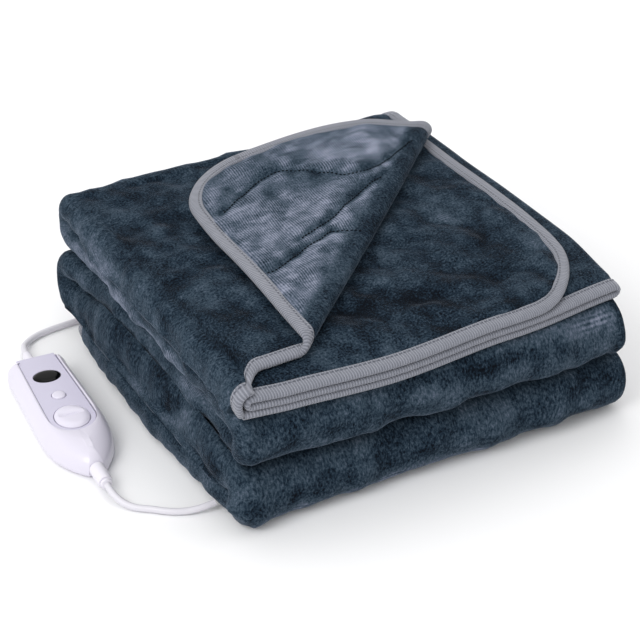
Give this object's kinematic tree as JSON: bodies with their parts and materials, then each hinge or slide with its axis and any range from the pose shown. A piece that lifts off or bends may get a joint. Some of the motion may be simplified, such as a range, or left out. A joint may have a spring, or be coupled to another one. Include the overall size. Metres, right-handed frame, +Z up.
{
  "type": "electric heated blanket",
  "caption": "Folded plush electric heated throw with ribbed edge binding, one corner turned back, a corded hand controller and a mains lead coiled behind.",
  "frame": {"origin": "on the ground under the middle of the folded blanket and its hand controller", "axes": "+X to the right along the blanket's front, +Y to its back, +Z up"},
  "size_m": [0.4118, 0.4848, 0.1382],
  "materials": {
    "plush": "slate blue plush pile on both faces",
    "knit": "grey ribbed knit tape",
    "white_shell": "glossy white moulded plastic",
    "white_panel": "glossy white moulded plastic",
    "white_button": "glossy white moulded plastic",
    "dark_window": "polished dark window",
    "white_sleeve": "satin soft plastic",
    "cord_jacket": "satin soft cord jacket",
    "tie_band": "matt plastic band",
    "pin_metal": "nickel-plated brass"
  },
  "bodies": {
    "blanket": {"blanket_cloth": "plush", "edge_binding": "knit", "controller_housing": "white_shell", "front_panel": "white_panel", "display_window": "dark_window", "mains_sleeve": "white_sleeve", "lead_sleeve": "white_sleeve", "mains_cord": "cord_jacket", "blanket_lead": "cord_jacket", "plug_cord": "cord_jacket", "mains_coil": "cord_jacket", "coil_tie": "tie_band", "mains_plug": "white_sleeve", "plug_pin_left": "pin_metal", "plug_pin_right": "pin_metal"},
    "small_button": {"small_button": "white_button"},
    "large_button": {"large_button": "white_button"}
  },
  "joints": [
    {"name": "small_button_press", "type": "slide", "parent": "blanket", "child": "small_button", "axis": [0, 0, -1], "range_m": [0, 0.0008], "stiffness_N_per_m": 600, "springref_m": -0.0003},
    {"name": "large_button_press", "type": "slide", "parent": "blanket", "child": "large_button", "axis": [0, 0, -1], "range_m": [0, 0.001], "stiffness_N_per_m": 600, "springref_m": -0.0003}
  ]
}
